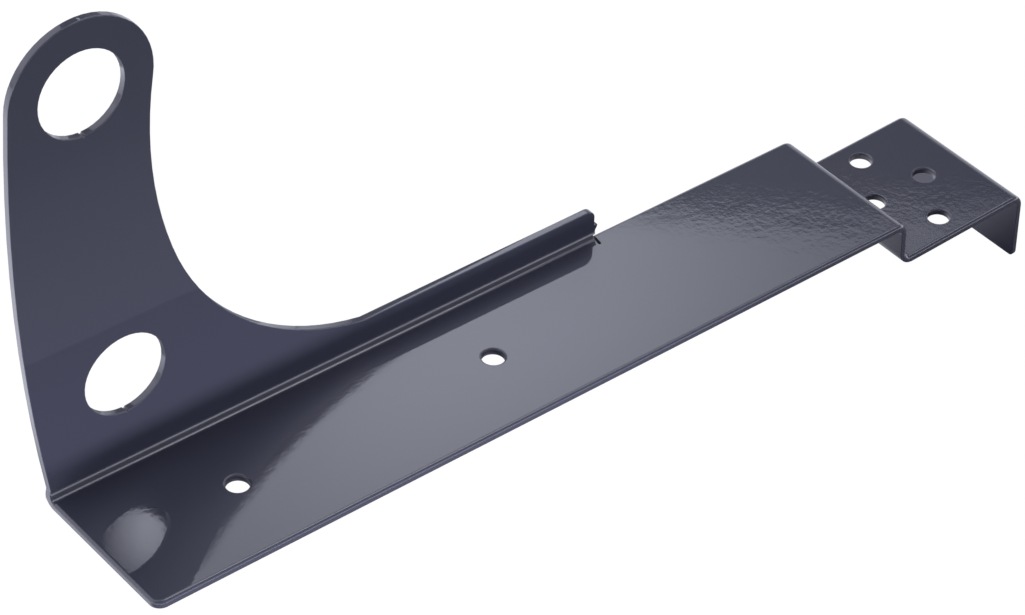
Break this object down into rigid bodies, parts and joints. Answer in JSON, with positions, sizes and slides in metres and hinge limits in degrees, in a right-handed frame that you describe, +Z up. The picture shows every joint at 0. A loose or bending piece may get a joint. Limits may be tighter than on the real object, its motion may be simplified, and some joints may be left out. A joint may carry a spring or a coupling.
{
  "type": "snow guard bracket",
  "caption": "Folded steel bracket with a long screw strap, an upright curved web bored for snow rails, a stepped drilled tab and a hook that drops behind a roof batten.",
  "frame": {"origin": "midway between the two screw holes of the strap, at the underside of the strap", "axes": "+X along the strap towards the tab and the hook, +Y across the strap towards the upright web, +Z up out of the top of the strap"},
  "size_m": [0.4345, 0.07, 0.2462],
  "materials": {
    "coated_steel": "gloss"
  },
  "bodies": {
    "root": {"bracket": "coated_steel"}
  },
  "joints": []
}
